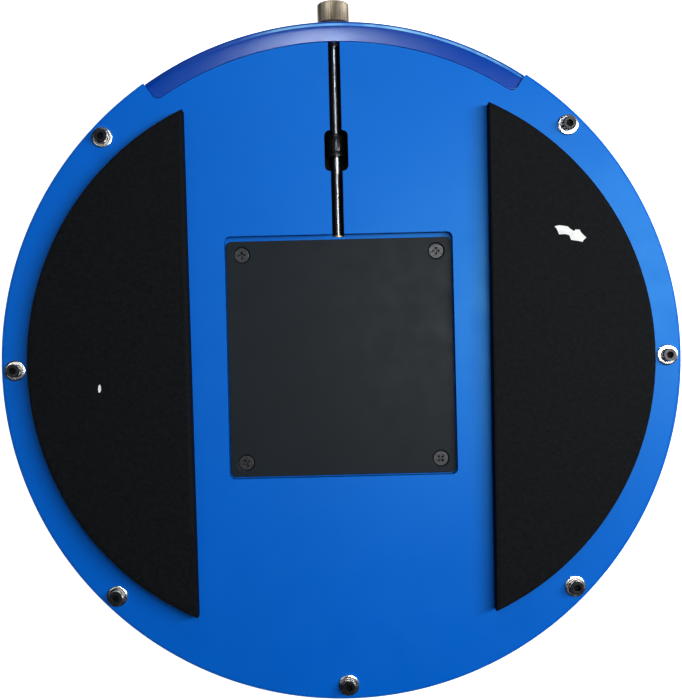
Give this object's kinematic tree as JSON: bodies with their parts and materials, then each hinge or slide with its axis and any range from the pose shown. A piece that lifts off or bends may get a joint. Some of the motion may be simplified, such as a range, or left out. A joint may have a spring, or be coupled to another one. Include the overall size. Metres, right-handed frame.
{
  "type": "drum practice pad with snares",
  "caption": "Round drum practice pad lying face down: blue underside with foam feet, a screwed cover and a rim knob on a radial shaft that presses snare wires to the head.",
  "frame": {"origin": "centre of the rubber playing face, which is the lowest plane of the part as it lies face down", "axes": "+Z out of the blue underside, along the drum's axis; +Y towards the adjusting knob; +X to the right as the underside is looked at"},
  "size_m": [0.3556, 0.3667, 0.04],
  "materials": {
    "blue_anodised": "satin blue anodised, light haze",
    "blue_gloss": "glossy blue moulding",
    "black_satin": "satin black plate",
    "screw_black": "blackened steel, worn bright at the recess",
    "black_steel": "black oxide",
    "foam": "fine grained closed cell foam",
    "bright_steel": "bright zinc plate",
    "ring_black": "satin black",
    "seal_rubber": "moulded black rubber",
    "sheet_steel": "bare sheet",
    "playing_rubber": "fine textured rubber",
    "bronze": "sintered bronze",
    "nylon": "natural nylon",
    "spring_steel": "drawn wire",
    "nickel": "warm nickel, straight knurl",
    "shaft_steel": "ground dark steel rod",
    "dark_steel": "turned, black oxide",
    "cast_grey": "as cast",
    "brass": "turned brass"
  },
  "bodies": {
    "base": {"base_tray": "blue_anodised", "rim_bridge": "blue_gloss", "bridge_screws": "black_steel", "cover_plate": "black_satin", "cover_screws": "screw_black", "foam_pad_left": "foam", "foam_pad_right": "foam", "rim_bolts": "black_steel", "rim_washers": "bright_steel", "clamp_ring": "ring_black", "head_gasket": "seal_rubber", "head_plate": "sheet_steel", "rubber_pad": "playing_rubber", "rim_bushing": "bronze", "box_bushing": "bronze", "shaft_o_ring": "seal_rubber", "knob_thrust_washer": "nylon", "slide_rails": "nylon", "rail_screws": "bright_steel", "guide_screws": "bright_steel", "return_springs": "spring_steel"},
    "shaft": {"knob": "nickel", "knob_set_screw": "black_steel", "knob_shaft": "shaft_steel", "shaft_coupling": "dark_steel", "coupling_set_screws": "black_steel", "lead_screw": "shaft_steel", "shaft_clip": "spring_steel"},
    "carriage": {"wedge_carriage": "cast_grey", "lead_nut": "brass", "nut_screws": "bright_steel"},
    "lifter": {"snare_lifter": "cast_grey", "snare_end_clamps": "bright_steel", "snare_wires": "spring_steel", "snare_screws": "bright_steel"}
  },
  "joints": [
    {"name": "knob_turn", "type": "hinge", "parent": "base", "child": "shaft", "pos_m": [0, 0.1838, 0.018], "axis": [0, -1, 0], "range_deg": [0, 2250.1]},
    {"name": "wedge_slide", "type": "slide", "parent": "base", "child": "carriage", "axis": [0, 1, 0], "range_m": [0, 0.005]},
    {"name": "lifter_slide", "type": "slide", "parent": "base", "child": "lifter", "axis": [0, 0, -1], "range_m": [0, 0.002], "deforming": ["return_springs"]}
  ],
  "couplings": [
    {"joint": "knob_turn", "follows": "wedge_slide", "rad_per_m": 7854},
    {"joint": "lifter_slide", "follows": "wedge_slide", "ratio": 0.4}
  ]
}
